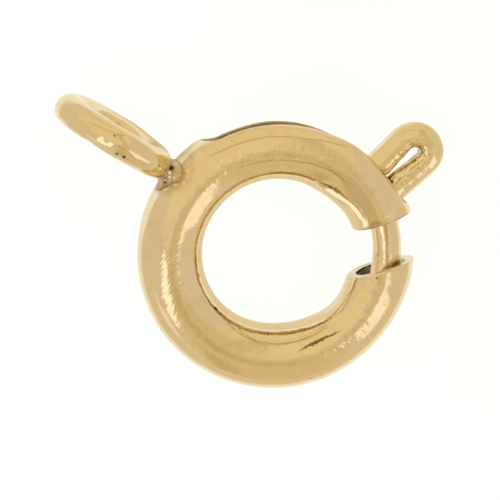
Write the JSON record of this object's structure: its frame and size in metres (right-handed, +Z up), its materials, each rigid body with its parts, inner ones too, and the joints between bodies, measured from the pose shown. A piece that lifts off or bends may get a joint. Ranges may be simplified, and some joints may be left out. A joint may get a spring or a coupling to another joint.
{
  "type": "spring ring clasp",
  "caption": "Round spring ring clasp for a necklace or bracelet, with a sprung wire bolt, a hairpin trigger and a soldered eyelet.",
  "frame": {"origin": "centre of the ring, on the axis that the bolt turns about, as the clasp lies on a flat surface", "axes": "+Z up from the surface, -X towards the eyelet, +Y on the trigger's side"},
  "size_m": [0.0088, 0.0071, 0.0028],
  "materials": {
    "gold_plate": "polished",
    "gold_wire": "polished",
    "spring_steel": "satin"
  },
  "bodies": {
    "clasp": {"ring_body": "gold_plate", "spring": "spring_steel"},
    "trigger_bolt": {"bolt": "gold_wire"}
  },
  "joints": [
    {"name": "bolt_slide", "type": "hinge", "parent": "clasp", "child": "trigger_bolt", "pos_m": [0, 0, 0], "axis": [0.1084, 0, 0.9941], "range_deg": [0, 36], "stiffness_Nm_per_rad": 0.003, "springref_deg": -17.19, "deforming": ["spring"]}
  ]
}
